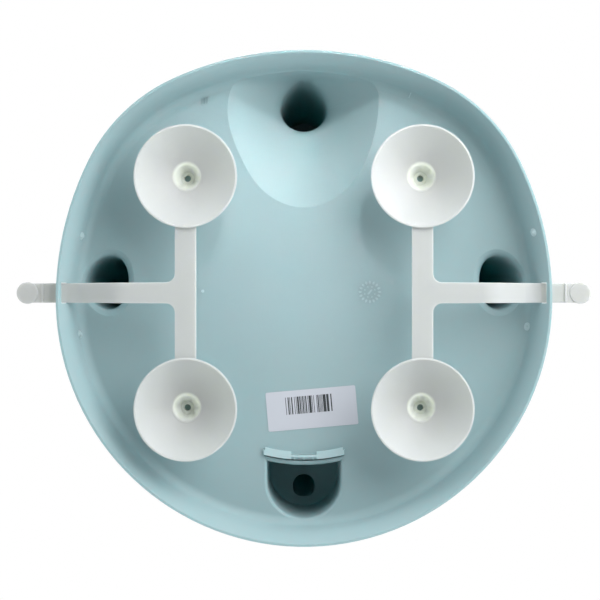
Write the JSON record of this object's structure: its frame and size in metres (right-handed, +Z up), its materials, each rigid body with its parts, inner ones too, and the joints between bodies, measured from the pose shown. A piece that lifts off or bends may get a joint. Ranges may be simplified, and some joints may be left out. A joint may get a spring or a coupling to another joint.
{
  "type": "baby bath seat",
  "caption": "Baby bath seat: a round pan on suction cups with hollow posts that carry a ring and a backrest, and pull tabs that free the cups.",
  "frame": {"origin": "centre of the bounding box on the plane of the suction cups' rims, where the seat stands on the tub", "axes": "+Z up; +X to the seat's right as the child looks out along -Y, through the pull tabs; +Y towards the backrest"},
  "size_m": [0.4044, 0.3478, 0.242],
  "materials": {
    "shell_plastic": "satin moulded polypropylene, pale blue-green",
    "soft_white": "soft moulded white elastomer with a faint sheen",
    "sticker": "white film sticker with printed bars"
  },
  "bodies": {
    "root": {"base_shell": "shell_plastic", "ring_lower_shell": "shell_plastic", "ring_upper_shell": "shell_plastic", "backrest_panel": "shell_plastic", "left_suction_strap": "soft_white", "right_suction_strap": "soft_white", "barcode_sticker": "sticker"}
  },
  "joints": []
}
